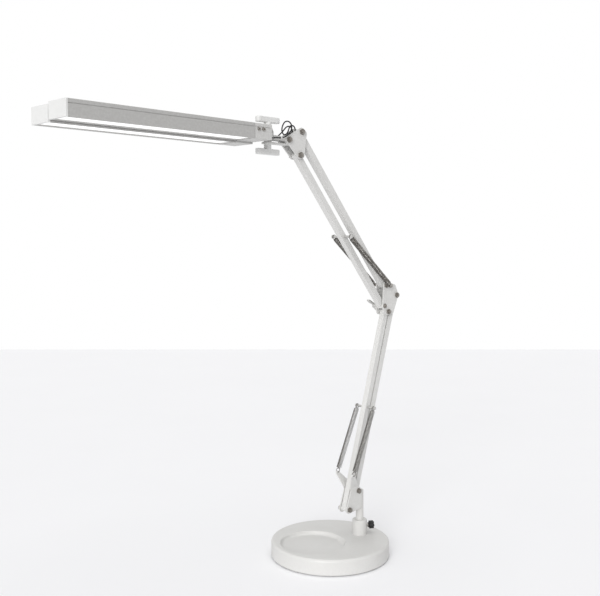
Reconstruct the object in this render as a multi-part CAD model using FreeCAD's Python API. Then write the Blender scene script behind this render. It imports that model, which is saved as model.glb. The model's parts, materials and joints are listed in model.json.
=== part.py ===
import FreeCAD, Part
import math
import os

os.makedirs("parts", exist_ok=True)

# A swing arm desk lamp: a weighted round base, two sprung parallelogram arms and a
# head of two light bars. Millimetres, +Z up, origin under the middle of the base.
# The arm plane is parallel to X and passes through the post.

# Base
base_radius = 100.0
base_height = 27.0
base_wall = 2.0
base_edge_round = 4.5
pad_thickness = 2.0
pad_inset = 2.5
tray_radius = 54.0
tray_depth = 6.0
tray_offset = 34.5
tray_lip_round = 2.5
weight_clearance = 0.8
weight_well_radius = 18.0

# Post and collar
post_radius = 6.5
post_offset = 57.08
post_bearing = -20.4
post_top = 104.5
collar_radius = 12.5
collar_height = 26.0
collar_spigot_radius = 10.0
bush_wall = 2.0
bush_floor = 1.5
running_clearance = 0.05
seat_clearance = 0.02

# Thumbscrew
thumb_bearing = -32.7
thumb_height = 41.5
thumb_stud_radius = 2.5
thumb_knob_radius = 5.2
thumb_lobe_radius = 1.8
thumb_lobes = 6
thumb_knob_start = 15.2
thumb_knob_length = 9.5
thumb_neck_radius = 4.0
thumb_neck_length = 2.0

# Arms
tube_width = 10.0
tube_wall = 1.2
arm_plate_gap = 13.2
plate_thickness = 2.0
bolt_radius = 2.5
nut_across_flats = 8.0
nut_height = 3.6
sleeve_wall = 1.1
lower_arm_length = 344.7
lower_arm_lean = 16.96
upper_arm_length = 321.9
upper_arm_lean = -40.5
lower_front_pivot = (-37.0, 79.0)
lower_rear_offset = (23.0, 28.0)
upper_front_offset = (-9.5, 10.5)
upper_rear_offset = (-6.1, 46.3)
lower_pin_distance = 175.3
upper_pin_distance = 157.3
cross_pin_radius = 2.0
cross_pin_half = 21.0

# Springs
spring_radius = 4.5
spring_wire = 1.1
spring_plane = 18.0
spring_hook_radius = 3.6
spring_hook_gap = 0.15
horn_offset = (-38.0, 138.0)
horn_radius = 3.6
horn_hole_radius = 1.4
horn_bend_height = 115.5

# Wing nut on the elbow clamp
wing_span = 32.0
wing_turn = -36.7
wing_hub_radius = 5.0
wing_hub_height = 7.0

# Head
tilt_offset = (-24.4, 21.7)
hub_reach = 36.5
hub_plate_radius = 9.0
hub_bolt_radius = 3.0
upper_leaf = (-2.7, 4.3)
lower_leaf = (-8.2, -6.2)
layer_gap = 0.05
washer_thickness = 0.5
hinge_plate_thickness = 2.0
knob_bar_length = 46.0
knob_bar_width = 10.0
knob_bar_height = 8.4
knob_neck_radius = 5.6
top_knob_height = 31.1
bottom_knob_depth = 24.8

# Light bars
bar_width = 40.0
bar_gap = 1.4
bar_height = 22.0
bar_top = 13.3
bar_length = 294.3
bar_wall = 1.6
bar_rail = 3.0
bar_groove_drop = 5.0
bar_groove_height = 1.0
bar_groove_depth = 0.8
joint_rebate_width = 1.2
joint_rebate_depth = 0.8
cap_thickness = 3.0
bracket_length = 33.5
bracket_start = 29.5
bracket_wall = 2.5
diffuser_thickness = 2.0
diffuser_clearance = 0.15
board_width = 30.0
board_thickness = 1.6
bar_screw_radius = 1.5
bar_screw_head = 2.8

# Cords
cord_radius = 1.0
cord_gap = 0.35


def vec(x, y, z):
    return FreeCAD.Vector(x, y, z)


def polar(radius, degrees):
    angle = math.radians(degrees)
    return radius * math.cos(angle), radius * math.sin(angle)


def along(point, distance, lean):
    """A point that lies distance up an arm leaning by lean degrees towards +X."""
    angle = math.radians(lean)
    return (
        point[0] + distance * math.sin(angle),
        point[1] + distance * math.cos(angle),
    )


def shifted(point, offset):
    return point[0] + offset[0], point[1] + offset[1]


# Places worked out from the sizes above. Arm points are (x from the post, height).
post_x, post_y = polar(post_offset, post_bearing)
tray_x, tray_y = polar(tray_offset, post_bearing + 185.0)
inner_face = arm_plate_gap / 2
outer_face = inner_face + plate_thickness

lower_front = lower_front_pivot
lower_rear = shifted(lower_front, lower_rear_offset)
elbow_front = along(lower_front, lower_arm_length, lower_arm_lean)
elbow_rear = shifted(elbow_front, lower_rear_offset)
upper_front = shifted(elbow_front, upper_front_offset)
upper_rear = shifted(elbow_front, upper_rear_offset)
top_front = along(upper_front, upper_arm_length, upper_arm_lean)
top_rear = along(upper_rear, upper_arm_length, upper_arm_lean)
tilt = shifted(top_front, tilt_offset)
lower_pin = along(lower_front, lower_pin_distance, lower_arm_lean)
upper_pin = along(upper_front, upper_pin_distance, upper_arm_lean)
hub_x = tilt[0] - hub_reach


def at(x, across, z):
    """Arm coordinates to the lamp's frame."""
    return vec(post_x + x, post_y + across, z)


def cylinder(centre, axis, radius, length):
    return Part.makeCylinder(radius, length, centre, axis)


def cross_rod(point, radius, low, high):
    """A rod across the arm plane through an arm point."""
    return cylinder(at(point[0], low, point[1]), vec(0, 1, 0), radius, high - low)


def upright(x, across, radius, low, high):
    return cylinder(at(x, across, low), vec(0, 0, 1), radius, high - low)


def block(x_range, across_range, z_range):
    """A box with its ranges in arm coordinates."""
    low = at(x_range[0], across_range[0], z_range[0])
    size = (
        x_range[1] - x_range[0],
        across_range[1] - across_range[0],
        z_range[1] - z_range[0],
    )
    return Part.makeBox(size[0], size[1], size[2], low)


def hexagon(point, across_flats, low, high):
    corner = across_flats / math.sqrt(3)
    ring = []
    for step in range(7):
        dx, dz = polar(corner, 60 * step + 30)
        ring.append(at(point[0] + dx, low, point[1] + dz))
    return Part.Face(Part.makePolygon(ring)).extrude(vec(0, high - low, 0))


def fuse(shapes):
    whole = shapes[0].fuse(shapes[1:]) if len(shapes) > 1 else shapes[0]
    return whole.removeSplitter()


def group(solids):
    return Part.makeCompound(solids)


def save(name, shape):
    shape.exportStep("parts/" + name + ".step")


def tangent_quad(a, b):
    """Corners of the strip between two discs (u, w, radius), along outer tangents."""
    du = b[0] - a[0]
    dw = b[1] - a[1]
    reach = math.hypot(du, dw)
    base = math.atan2(dw, du)
    spread = math.acos((a[2] - b[2]) / reach)
    corners = []
    for disc, turn in ((a, spread), (a, -spread), (b, -spread), (b, spread)):
        corners.append(
            (
                disc[0] + disc[2] * math.cos(base + turn),
                disc[1] + disc[2] * math.sin(base + turn),
            )
        )
    return corners


def standing_slab(discs, low, high):
    """A plate across the arm plane whose rounded outline runs round the given discs."""
    depth = vec(0, high - low, 0)
    pieces = []
    for index, disc in enumerate(discs):
        following = discs[(index + 1) % len(discs)]
        pieces.append(cross_rod(disc, disc[2], low, high))
        if len(discs) == 2 and index == 1:
            continue
        quad = tangent_quad(disc, following)
        loop = [at(u, low, w) for u, w in quad + quad[:1]]
        pieces.append(Part.Face(Part.makePolygon(loop)).extrude(depth))
    if len(discs) > 2:
        loop = [at(d[0], low, d[1]) for d in discs + discs[:1]]
        pieces.append(Part.Face(Part.makePolygon(loop)).extrude(depth))
    return fuse(pieces)


def lying_slab(discs, low, high):
    """A level plate whose rounded outline runs round discs (x, across, radius)."""
    depth = vec(0, 0, high - low)
    pieces = []
    for index, disc in enumerate(discs):
        following = discs[(index + 1) % len(discs)]
        pieces.append(upright(disc[0], disc[1], disc[2], low, high))
        if len(discs) == 2 and index == 1:
            continue
        quad = tangent_quad(disc, following)
        loop = [at(u, w, low) for u, w in quad + quad[:1]]
        pieces.append(Part.Face(Part.makePolygon(loop)).extrude(depth))
    if len(discs) > 2:
        loop = [at(d[0], d[1], low) for d in discs + discs[:1]]
        pieces.append(Part.Face(Part.makePolygon(loop)).extrude(depth))
    return fuse(pieces)


def turned(profile):
    """A solid turned about Z from a closed profile of edges in the XZ plane."""
    face = Part.Face(Part.Wire(Part.__sortEdges__(profile)))
    return face.revolve(vec(0, 0, 0), vec(0, 0, 1), 360)


def line(a, b):
    return Part.makeLine(vec(a[0], 0, a[1]), vec(b[0], 0, b[1]))


def corner_arc(a, b, centre, radius):
    """A quarter round from a to b, in the XZ plane."""
    mid_x = (a[0] + b[0]) / 2 - centre[0]
    mid_z = (a[1] + b[1]) / 2 - centre[1]
    reach = math.hypot(mid_x, mid_z)
    middle = vec(
        centre[0] + radius * mid_x / reach, 0, centre[1] + radius * mid_z / reach
    )
    return Part.Arc(vec(a[0], 0, a[1]), middle, vec(b[0], 0, b[1])).toShape()


def domed_disc(radius, low, high, edge):
    """A disc about Z with a round upper edge."""
    shoulder = (radius, high - edge)
    rim = (radius - edge, high)
    return turned(
        [
            line((0, low), (radius, low)),
            line((radius, low), shoulder),
            corner_arc(shoulder, rim, (radius - edge, high - edge), edge),
            line(rim, (0, high)),
            line((0, high), (0, low)),
        ]
    )


def tray_bowl(radius, depth, top):
    """The hollow of the tray: a flat floor with a quarter round wall."""
    floor = top - depth
    bowl = turned(
        [
            line((0, floor), (radius - depth, floor)),
            corner_arc((radius - depth, floor), (radius, top), (radius - depth, top), depth),
            line((radius, top), (0, top)),
            line((0, top), (0, floor)),
        ]
    )
    bowl.translate(vec(tray_x, tray_y, 0))
    return bowl


# ---- base ----


def base_cover():
    outer = domed_disc(base_radius, pad_thickness, base_height, base_edge_round)
    tray = tray_bowl(tray_radius, tray_depth, base_height)
    shell = outer.cut(tray)
    lip = [
        edge
        for edge in shell.Edges
        if abs(edge.BoundBox.ZMin - base_height) < 0.01
        and abs(edge.BoundBox.ZMax - base_height) < 0.01
        and abs(edge.BoundBox.XLength - 2 * tray_radius) < 0.1
    ]
    shell = shell.makeFillet(tray_lip_round, lip)
    inside = domed_disc(
        base_radius - base_wall,
        pad_thickness,
        base_height - base_wall,
        base_edge_round - base_wall,
    )
    bulge = tray_bowl(tray_radius + base_wall, tray_depth + base_wall, base_height)
    shell = shell.cut(inside.cut(bulge))
    hole = upright(0, 0, collar_spigot_radius + seat_clearance, 0, base_height + 1)
    return shell.cut(hole)


def base_weight():
    top = base_height - tray_depth - base_wall - 0.5
    radius = base_radius - base_wall - weight_clearance
    slug = Part.makeCylinder(radius, top - pad_thickness, vec(0, 0, pad_thickness))
    well = upright(0, 0, weight_well_radius, 0, base_height)
    return slug.cut(well)


def base_foot_pad():
    return Part.makeCylinder(base_radius - pad_inset, pad_thickness, vec(0, 0, 0))


def thumb_axis():
    x, y = polar(1, thumb_bearing)
    return vec(x, y, 0)


def thumb_rod(radius, start, end):
    direction = thumb_axis()
    start_point = at(0, 0, thumb_height) + direction * start
    return cylinder(start_point, direction, radius, end - start)


def base_collar():
    top = base_height + collar_height
    spigot_bottom = base_height - base_wall - 1.5
    ring = upright(0, 0, collar_radius, base_height, top)
    ring = ring.makeFillet(
        1.0, [e for e in ring.Edges if abs(e.BoundBox.ZMin - top) < 0.01]
    )
    spigot = upright(0, 0, collar_spigot_radius, spigot_bottom, base_height)
    flare = upright(0, 0, collar_spigot_radius + 2, spigot_bottom, spigot_bottom + 1.45)
    bore_radius = post_radius + running_clearance + bush_wall + seat_clearance
    bore = upright(0, 0, bore_radius, base_height, top + 1)
    thread = thumb_rod(thumb_stud_radius + running_clearance, 0, collar_radius + 2)
    return fuse([ring, spigot, flare]).cut(bore).cut(thread)


def collar_bush():
    top = base_height + collar_height - 0.5
    outer = upright(
        0, 0, post_radius + running_clearance + bush_wall, base_height, top
    )
    inner = upright(
        0, 0, post_radius + running_clearance, base_height + bush_floor, top + 1
    )
    window = thumb_rod(thumb_stud_radius + running_clearance, 0, collar_radius)
    return outer.cut(inner).cut(window)


def thumb_stud():
    return thumb_rod(
        thumb_stud_radius,
        post_radius + running_clearance,
        thumb_knob_start + thumb_knob_length - 2,
    )


def thumb_knob():
    end = thumb_knob_start + thumb_knob_length
    body = thumb_rod(thumb_knob_radius, thumb_knob_start + thumb_neck_length, end)
    neck = thumb_rod(thumb_neck_radius, thumb_knob_start, thumb_knob_start + 3)
    direction = thumb_axis()
    side = direction.cross(vec(0, 0, 1))
    parts = [body, neck]
    for index in range(thumb_lobes):
        u, w = polar(thumb_knob_radius - 0.2, 360 * index / thumb_lobes)
        centre = at(0, 0, thumb_height) + side * u + vec(0, 0, w)
        start = centre + direction * (thumb_knob_start + thumb_neck_length)
        length = thumb_knob_length - thumb_neck_length
        parts.append(cylinder(start, direction, thumb_lobe_radius, length))
    bore = thumb_rod(thumb_stud_radius + seat_clearance, thumb_knob_start - 1, end - 2)
    return fuse(parts).cut(bore)


# ---- lower bracket ----

block_left = -21.5
block_low = 81.0
block_high = 99.0


def swivel_post():
    """The turning post, with a lug that both side plates are welded to."""
    bottom = base_height + bush_floor + running_clearance
    post = upright(0, 0, post_radius, bottom, post_top)
    half = inner_face - seat_clearance
    lug = block((block_left, 0), (-half, half), (block_low, block_high))
    return fuse([post, lug])


def lower_plate(side):
    """A side plate whose upper horn leans outwards to hold a spring."""
    low = inner_face if side > 0 else -outer_face
    middle = low + plate_thickness / 2
    rise = horn_offset[1] - horn_bend_height
    flare = spring_plane - 1.0 - abs(middle)
    lean = math.degrees(math.atan2(flare, rise))
    flat_horn = (horn_offset[0], horn_bend_height + math.hypot(rise, flare))
    outline = [
        (lower_front[0], lower_front[1], 6.5),
        (-26.0, 111.0, 5.5),
        (flat_horn[0], flat_horn[1], horn_radius),
        (lower_rear[0], lower_rear[1], 7.0),
        (-10.0, 101.0, 5.0),
        (-10.0, 80.0, 5.0),
    ]
    flat = standing_slab(outline, low, low + plate_thickness)
    below = block((-100, 50), (-30, 30), (0, horn_bend_height))
    horn = flat.cut(below)
    base = flat.common(below)
    sliver = block(
        (-100, 50), (-30, 30), (horn_bend_height - 0.01, horn_bend_height + 0.01)
    )
    seam = flat.common(sliver).BoundBox
    bend = cylinder(
        vec(seam.XMin + 0.1, post_y + middle, horn_bend_height),
        vec(1, 0, 0),
        plate_thickness / 2,
        seam.XLength - 0.2,
    )
    horn.rotate(
        vec(0, post_y + middle, horn_bend_height), vec(1, 0, 0), -lean * side
    )
    plate = fuse([base, horn, bend])
    plate = plate.cut(cross_rod(horn_offset, horn_hole_radius, -30, 30))
    for point in (lower_front, lower_rear):
        plate = plate.cut(cross_rod(point, bolt_radius + seat_clearance, -20, 20))
    return plate


# ---- fasteners and sleeves that every bracket repeats ----


def pivot_bolt(point, near_reach, far_reach):
    """A hexagon bolt: its head is on the far side, its thread passes the near nut."""
    shank = cross_rod(point, bolt_radius, -near_reach, far_reach)
    head = hexagon(point, nut_across_flats, outer_face, outer_face + nut_height)
    return fuse([shank, head])


def pivot_nut(point, side=-1):
    """A locking nut with a round collar, on the near side unless side is 1."""
    low, high = sorted((side * outer_face, side * (outer_face + nut_height)))
    body = hexagon(point, nut_across_flats, low, high)
    low, high = sorted((side * (outer_face + 1), side * (outer_face + nut_height + 0.6)))
    collar = cross_rod(point, 3.7, low, high)
    hole = cross_rod(point, bolt_radius + seat_clearance, -30, 30)
    return fuse([body, collar]).cut(hole)


def pivot_sleeve(point):
    """A plastic sleeve that spaces the side plates and that a tube turns on."""
    half = inner_face - seat_clearance
    outer = cross_rod(point, bolt_radius + seat_clearance + sleeve_wall, -half, half)
    return outer.cut(cross_rod(point, bolt_radius + seat_clearance, -20, 20))


def bolts(points):
    reach = outer_face + nut_height + 1.2
    return group([pivot_bolt(p, reach, outer_face + 1) for p in points])


def nuts(points):
    return group([pivot_nut(p) for p in points])


def sleeves(points):
    return group([pivot_sleeve(p) for p in points])


# ---- arms ----


def arm_tube(start, end, pin=None):
    """A square tube with round ends, bored for a sleeve at each end."""
    half = tube_width / 2
    outer = standing_slab([start + (half,), end + (half,)], -half, half)
    bore = half - tube_wall
    inner = standing_slab(
        [along_link(start, end, -half) + (bore,), along_link(end, start, -half) + (bore,)],
        -bore,
        bore,
    )
    tube = outer.cut(inner)
    sleeve_hole = bolt_radius + seat_clearance + sleeve_wall + running_clearance
    for point in (start, end):
        tube = tube.cut(cross_rod(point, sleeve_hole, -20, 20))
    if pin:
        tube = tube.cut(cross_rod(pin, cross_pin_radius + seat_clearance, -20, 20))
    return tube


def along_link(a, b, distance):
    """The point on the line from a to b that lies distance from a."""
    reach = math.dist(a, b)
    share = distance / reach
    return a[0] + (b[0] - a[0]) * share, a[1] + (b[1] - a[1]) * share


def cross_pin(point):
    """A pin through a tube, headed at both ends to keep the spring hooks on."""
    rod = cross_rod(point, cross_pin_radius, -cross_pin_half, cross_pin_half)
    near = cross_rod(point, 3.0, -cross_pin_half, 1.0 - cross_pin_half)
    far = cross_rod(point, 3.0, cross_pin_half - 1.0, cross_pin_half)
    return fuse([rod, near, far])


def hook_ring(centre, axis):
    return Part.makeTorus(spring_hook_radius, spring_wire / 2, centre, axis)


def spring(anchor, anchor_axis, anchor_rod, pin, side):
    """A close wound tension spring as a tube, with a ring hook at each end.

    anchor_rod is the radius of what the first hook goes round or through."""
    across = spring_plane * side
    start = at(anchor[0], across, anchor[1])
    end = at(pin[0], across, pin[1])
    direction = (end - start).normalize()
    wire = spring_wire / 2
    start_ring = start + direction * (spring_hook_radius - anchor_rod)
    slack = spring_hook_radius - wire - cross_pin_radius - spring_hook_gap
    end_ring = end - direction * slack
    coil_start = start_ring + direction * (spring_hook_radius + 1)
    coil_end = end_ring - direction * (spring_hook_radius + 1)
    coil_length = coil_end.distanceToPoint(coil_start)
    coil = cylinder(coil_start, direction, spring_radius, coil_length)
    hollow = cylinder(
        coil_start + direction * spring_wire,
        direction,
        spring_radius - spring_wire,
        coil_length - 2 * spring_wire,
    )
    leg_length = 1.5
    leg = wire - 0.05
    first_leg = cylinder(coil_start - direction * leg_length, direction, leg, 2)
    last_leg = cylinder(coil_end + direction * leg_length, direction * -1, leg, 2)
    return fuse(
        [
            coil.cut(hollow),
            hook_ring(start_ring, anchor_axis(direction)),
            hook_ring(end_ring, vec(0, 1, 0)),
            first_leg,
            last_leg,
        ]
    )


def lower_spring(side):
    """The lower hook passes through the horn's hole, so it stands across the plate."""
    return spring(
        horn_offset,
        lambda direction: direction.cross(vec(0, 1, 0)),
        spring_wire / 2 - horn_hole_radius + spring_hook_gap,
        lower_pin,
        side,
    )


def upper_spring(side):
    """The lower hook goes round the long elbow bolt."""
    return spring(
        upper_rear,
        lambda direction: vec(0, 1, 0),
        spring_wire / 2 + bolt_radius + spring_hook_gap,
        upper_pin,
        side,
    )


# ---- elbow ----


def elbow_plate(side):
    low = inner_face if side > 0 else -outer_face
    origin = elbow_front
    outline = [
        (origin[0], origin[1], 6.0),
        (origin[0] - 6.5, origin[1] + 0.5, 5.5),
        (upper_front[0], upper_front[1], 4.4),
        (upper_rear[0], upper_rear[1], 6.0),
        (origin[0] + 16.5, origin[1] + 42.0, 5.0),
        (elbow_rear[0], elbow_rear[1], 5.6),
        (origin[0] + 10.5, origin[1] - 0.5, 5.0),
    ]
    plate = standing_slab(outline, low, low + plate_thickness)
    for point in (elbow_front, elbow_rear, upper_front, upper_rear):
        plate = plate.cut(cross_rod(point, bolt_radius + seat_clearance, -20, 20))
    return plate


def elbow_anchor_bolt():
    """The long bolt that carries the rear upper tube and both upper springs."""
    rod = cross_rod(upper_rear, bolt_radius, -cross_pin_half, cross_pin_half)
    near = cross_rod(upper_rear, 3.6, -cross_pin_half, 1.0 - cross_pin_half)
    far = cross_rod(upper_rear, 3.6, cross_pin_half - 1.0, cross_pin_half)
    return fuse([rod, near, far])


def elbow_nuts():
    """Lock nuts of the two lower pivots, and one on each side of the anchor bolt."""
    points = [elbow_front, elbow_rear, upper_rear]
    return group([pivot_nut(p) for p in points] + [pivot_nut(upper_rear, 1)])


def elbow_clamp_bolt():
    """A round headed bolt; the wing nut on its far end sets the arm's stiffness."""
    shank = cross_rod(
        upper_front, bolt_radius, -outer_face, outer_face + wing_hub_height + 2
    )
    head = cross_rod(upper_front, 4.0, -outer_face - 2.2, -outer_face)
    head = head.makeFillet(
        1.2,
        [
            e
            for e in head.Edges
            if abs(e.BoundBox.YMax - (post_y - outer_face - 2.2)) < 0.01
        ],
    )
    return fuse([shank, head])


def elbow_wing_nut():
    start = outer_face + layer_gap
    hub = cross_rod(upper_front, wing_hub_radius, start, start + wing_hub_height)
    solids = [hub]
    for side in (1, -1):
        u, w = polar(side, wing_turn)
        inner = (upper_front[0] + u * 4.0, upper_front[1] + w * 4.0)
        tip_reach = wing_span / 2 - 3.5
        tip = (upper_front[0] + u * tip_reach, upper_front[1] + w * tip_reach)
        wing = standing_slab(
            [inner + (2.2,), tip + (3.5,)], start + 2.5, start + wing_hub_height + 5
        )
        solids.append(wing.common(wing_blade(u, w, start)))
    hole = cross_rod(upper_front, bolt_radius + running_clearance, 0, 40)
    return fuse(solids).cut(hole)


def wing_blade(u, w, start):
    """The thin upright slice that a wing is cut from, widening away from the hub."""
    thickness = 2.4
    reach = wing_span / 2 + 1
    profile = [
        (2.0, start + 2.5),
        (reach, start + 6.5),
        (reach, start + wing_hub_height + 5),
        (reach * 0.55, start + wing_hub_height + 5),
        (2.0, start + wing_hub_height - 0.5),
    ]
    ring = []
    for distance, across in profile + profile[:1]:
        point = at(
            upper_front[0] + u * distance + w * thickness / 2,
            across,
            upper_front[1] + w * distance - u * thickness / 2,
        )
        ring.append(point)
    direction = vec(-w * thickness, 0, u * thickness)
    return Part.Face(Part.makePolygon(ring)).extrude(direction)


# ---- top bracket ----

anchor_x = (-15.5, -5.8)
anchor_z = (-12.0, -2.0)
cord_entry_x = -8.2
cord_entry_across = 3.3


def top_plate(side):
    low = inner_face if side > 0 else -outer_face
    outline = [
        (tilt[0], tilt[1], 5.4),
        (top_rear[0], top_rear[1], 6.3),
        (top_rear[0] + 6.0, top_rear[1] - 2.6, 5.2),
        (top_front[0] + 4.5, top_front[1] + 0.5, 5.0),
        (top_front[0], top_front[1], 6.0),
    ]
    plate = standing_slab(outline, low, low + plate_thickness)
    for point in (top_front, top_rear, tilt):
        plate = plate.cut(cross_rod(point, bolt_radius + seat_clearance, -20, 20))
    return plate


def cord_anchor():
    """A block between the top plates that the two head cords enter from above."""
    half = inner_face - running_clearance
    body = block(
        (top_rear[0] + anchor_x[0], top_rear[0] + anchor_x[1]),
        (-half, half),
        (top_rear[1] + anchor_z[0], top_rear[1] + anchor_z[1]),
    )
    for side in (1, -1):
        body = body.cut(
            upright(
                top_rear[0] + cord_entry_x,
                cord_entry_across * side,
                cord_radius + cord_gap,
                top_rear[1] + anchor_z[0] + 3,
                top_rear[1] + anchor_z[1] + 1,
            )
        )
    return body


# ---- head ----

stack_bottom = tilt[1] + upper_leaf[1]
pitch = washer_thickness + hinge_plate_thickness + 2 * layer_gap
far_plate_low = stack_bottom + washer_thickness + 2 * layer_gap
near_plate_low = far_plate_low + pitch
stack_top = near_plate_low + hinge_plate_thickness
lug_x = 17.0
lug_across = 11.1
lug_height = 0.8


def head_arm():
    """A folded arm: a thick upper leaf and a thin lower one joined behind the pivot."""
    half = inner_face - 0.2
    leaves = []
    for leaf in (upper_leaf, lower_leaf):
        low, high = tilt[1] + leaf[0], tilt[1] + leaf[1]
        root = (tilt[0], 0, half)
        neck = (tilt[0] - 11.0, 0, half)
        leaves.append(lying_slab([root, neck], low, high))
        leaves.append(lying_slab([neck, (hub_x, 0, hub_plate_radius)], low, high))
    eye = cross_rod(tilt, half - 0.1, -half, half)
    web = block(
        (tilt[0] - 3.5, tilt[0] + 4.5),
        (-half, half),
        (tilt[1] + lower_leaf[0], tilt[1]),
    )
    boss = upright(
        hub_x,
        0,
        hub_bolt_radius + 3,
        tilt[1] + lower_leaf[0],
        tilt[1] + upper_leaf[1],
    )
    lugs = []
    for side in (1, -1):
        foot = block(
            (hub_x + lug_x - 1.0, hub_x + lug_x + 1.0),
            sorted((4.0 * side, lug_across * side)),
            (tilt[1] + lug_height - 1.2, tilt[1] + lug_height + 1.2),
        )
        eyelet = cylinder(
            at(hub_x + lug_x - 1.0, lug_across * side, tilt[1] + lug_height),
            vec(1, 0, 0),
            cord_radius + cord_gap + 1.1,
            2.0,
        )
        lugs += [foot, eyelet]
    arm = fuse(leaves + [eye, web, boss] + lugs)
    arm = arm.cut(cross_rod(tilt, bolt_radius + running_clearance, -20, 20))
    arm = arm.cut(
        upright(
            hub_x, 0, hub_bolt_radius + seat_clearance, tilt[1] - 20, tilt[1] + 20
        )
    )
    for side in (1, -1):
        hole = cylinder(
            at(hub_x + lug_x - 5, lug_across * side, tilt[1] + lug_height),
            vec(1, 0, 0),
            cord_radius + cord_gap,
            10.0,
        )
        arm = arm.cut(hole)
    return arm


def hub_bolt():
    return upright(
        hub_x,
        0,
        hub_bolt_radius,
        tilt[1] - bottom_knob_depth + 3,
        tilt[1] + top_knob_height - 3,
    )


def hub_washers():
    """Friction washers between the leaves, the hinge plates and the knobs."""
    lows = [
        tilt[1] + lower_leaf[0] - layer_gap - washer_thickness,
        stack_bottom + layer_gap,
        far_plate_low + hinge_plate_thickness + layer_gap,
        stack_top + layer_gap,
    ]
    rings = []
    for low in lows:
        ring = upright(hub_x, 0, hub_plate_radius, low, low + washer_thickness)
        hole = upright(hub_x, 0, hub_bolt_radius + seat_clearance, low - 1, low + 2)
        rings.append(ring.cut(hole))
    return group(rings)


def clamp_knob(bar_low, neck_low, neck_high, hole_low, hole_high):
    """A knob with a cross bar, bored for the hub bolt."""
    half = knob_bar_length / 2 - knob_bar_width / 2
    bar = lying_slab(
        [
            (hub_x - half, 0, knob_bar_width / 2),
            (hub_x + half, 0, knob_bar_width / 2),
        ],
        bar_low,
        bar_low + knob_bar_height,
    )
    bar = bar.makeFillet(
        1.2,
        [
            e
            for e in bar.Edges
            if abs(e.BoundBox.ZLength) < 0.01
        ],
    )
    neck = upright(hub_x, 0, knob_neck_radius, neck_low, neck_high)
    hole = upright(
        hub_x, 0, hub_bolt_radius + running_clearance, hole_low, hole_high
    )
    return fuse([bar, neck]).cut(hole)


def top_knob():
    bar_low = tilt[1] + top_knob_height - knob_bar_height
    neck_low = stack_top + washer_thickness + 2 * layer_gap
    return clamp_knob(
        bar_low,
        neck_low,
        bar_low + 1,
        neck_low - 1,
        tilt[1] + top_knob_height - 2.9,
    )


def bottom_knob():
    bar_low = tilt[1] - bottom_knob_depth
    neck_high = tilt[1] + lower_leaf[0] - washer_thickness - 2 * layer_gap
    return clamp_knob(
        bar_low,
        bar_low + knob_bar_height - 1,
        neck_high,
        bar_low + 2.9,
        neck_high + 1,
    )


# ---- light bars; side is -1 for the near bar and +1 for the far one ----

bracket_right = hub_x - bracket_start
bracket_left = bracket_right - bracket_length
housing_left = bracket_left - bar_length
cap_left = housing_left - cap_thickness
bar_inner = bar_gap / 2
bar_outer = bar_inner + bar_width


def side_range(side, low, high):
    return sorted((low * side, high * side))


def bar_drop(side):
    """The far bar hangs lower by one layer of the stack of hinge plates."""
    return near_plate_low - far_plate_low if side > 0 else 0.0


def bar_z(side):
    high = tilt[1] + bar_top - bar_drop(side)
    return high - bar_height, high


def section(side, inset, z_low, z_high, x_low, x_high):
    """A length of the bar's section, drawn in by inset on both sides."""
    return block(
        (x_low, x_high),
        side_range(side, bar_inner + inset, bar_outer - inset),
        (z_low, z_high),
    )


def long_edges(shape, high):
    """The edges along X at the given height."""
    return [
        e
        for e in shape.Edges
        if e.BoundBox.XLength > 1
        and e.BoundBox.YLength < 0.01
        and e.BoundBox.ZLength < 0.01
        and abs(e.BoundBox.ZMin - high) < 0.01
    ]


def grooved(shape, side, bar_high):
    """The shape with the thin groove that runs along both sides of a bar."""
    top = bar_high - bar_groove_drop
    for across in (bar_inner, bar_outer):
        groove = block(
            (housing_left - 1, bracket_right - 3),
            (across * side - bar_groove_depth, across * side + bar_groove_depth),
            (top - bar_groove_height, top),
        )
        shape = shape.cut(groove)
    return shape


def bar_housing(side):
    bar_low, bar_high = bar_z(side)
    outer = section(side, 0, bar_low, bar_high, housing_left, bracket_left)
    outer = outer.makeFillet(1.2, long_edges(outer, bar_high))
    cavity = section(
        side,
        bar_wall,
        bar_low + bar_wall + diffuser_thickness + 2 * diffuser_clearance,
        bar_high - bar_wall,
        housing_left - 1,
        bracket_left + 1,
    )
    slot = section(
        side,
        bar_wall,
        bar_low + bar_wall,
        bar_high - 8,
        housing_left - 1,
        bracket_left + 1,
    )
    mouth = section(
        side, bar_rail, bar_low - 1, bar_high - 8, housing_left - 1, bracket_left + 1
    )
    housing = outer.cut(cavity).cut(slot).cut(mouth)
    return grooved(housing, side, bar_high)


def bar_diffuser(side):
    low = bar_z(side)[0] + bar_wall + diffuser_clearance
    return section(
        side,
        bar_wall + diffuser_clearance,
        low,
        low + diffuser_thickness,
        housing_left + 0.2,
        bracket_left - 0.2,
    )


def bar_led_board(side):
    """The board with its light emitting diodes, held under the housing's roof."""
    high = bar_z(side)[1] - bar_wall
    middle = (bar_inner + bar_outer) / 2
    board = block(
        (housing_left + 3, bracket_left - 3),
        side_range(side, middle - board_width / 2, middle + board_width / 2),
        (high - board_thickness, high),
    )
    chips = []
    count = 24
    spacing = (bar_length - 20) / (count - 1)
    for index in range(count):
        x = housing_left + 10 + spacing * index
        chips.append(
            block(
                (x - 1.5, x + 1.5),
                side_range(side, middle - 1.5, middle + 1.5),
                (high - board_thickness - 0.8, high - board_thickness),
            )
        )
    return fuse([board] + chips)


def bar_end_cap(side):
    bar_low, bar_high = bar_z(side)
    cap = section(side, 0, bar_low, bar_high, cap_left, housing_left)
    cap = cap.makeFillet(1.2, long_edges(cap, bar_high))
    face = [
        e
        for e in cap.Edges
        if e.BoundBox.XLength < 0.01 and abs(e.BoundBox.XMin - (post_x + cap_left)) < 0.01
    ]
    return cap.makeFillet(0.6, face)


def hinge_low(side):
    return far_plate_low if side > 0 else near_plate_low


flange_left = 30.0
flange_right = 12.0
flange_depth = 8.5


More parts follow.
